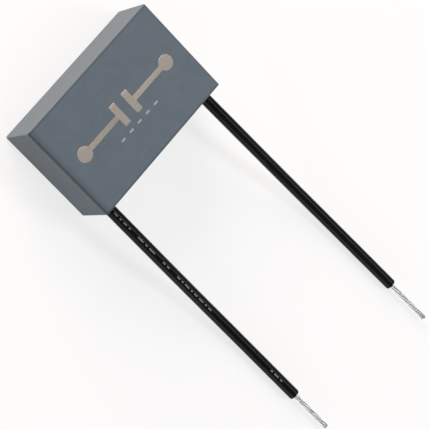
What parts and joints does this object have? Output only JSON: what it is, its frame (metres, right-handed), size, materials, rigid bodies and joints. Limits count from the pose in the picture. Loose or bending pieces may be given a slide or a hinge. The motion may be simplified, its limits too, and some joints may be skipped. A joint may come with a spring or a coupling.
{
  "type": "motor run capacitor",
  "caption": "Flat box-shaped film capacitor in a moulded case, with two insulated wire leads that end in twisted bare tips.",
  "frame": {"origin": "on the case's flat back face, under the middle of the case without its leads", "axes": "+Z out of the marked face, X along the long side of the case, -Y out of the mouth, where the leads leave"},
  "size_m": [0.0408, 0.1003, 0.013],
  "materials": {
    "case": "satin blue-grey moulded plastic",
    "resin": "dark potting resin, smooth",
    "metallised_film": "metallised film, silvery",
    "wrap_film": "clear plain film",
    "sprayed_metal": "rough sprayed zinc and tin",
    "solder": "satin solder",
    "tinned_copper": "bright tinned copper strands",
    "insulation": "black satin plastic insulation"
  },
  "bodies": {
    "root": {"case": "case", "potting_resin": "resin", "film_winding": "metallised_film", "outer_wrap": "wrap_film", "left_end_spray": "sprayed_metal", "right_end_spray": "sprayed_metal", "left_solder_joint": "solder", "right_solder_joint": "solder", "left_conductor": "tinned_copper", "right_conductor": "tinned_copper", "left_insulation": "insulation", "right_insulation": "insulation"}
  },
  "joints": []
}
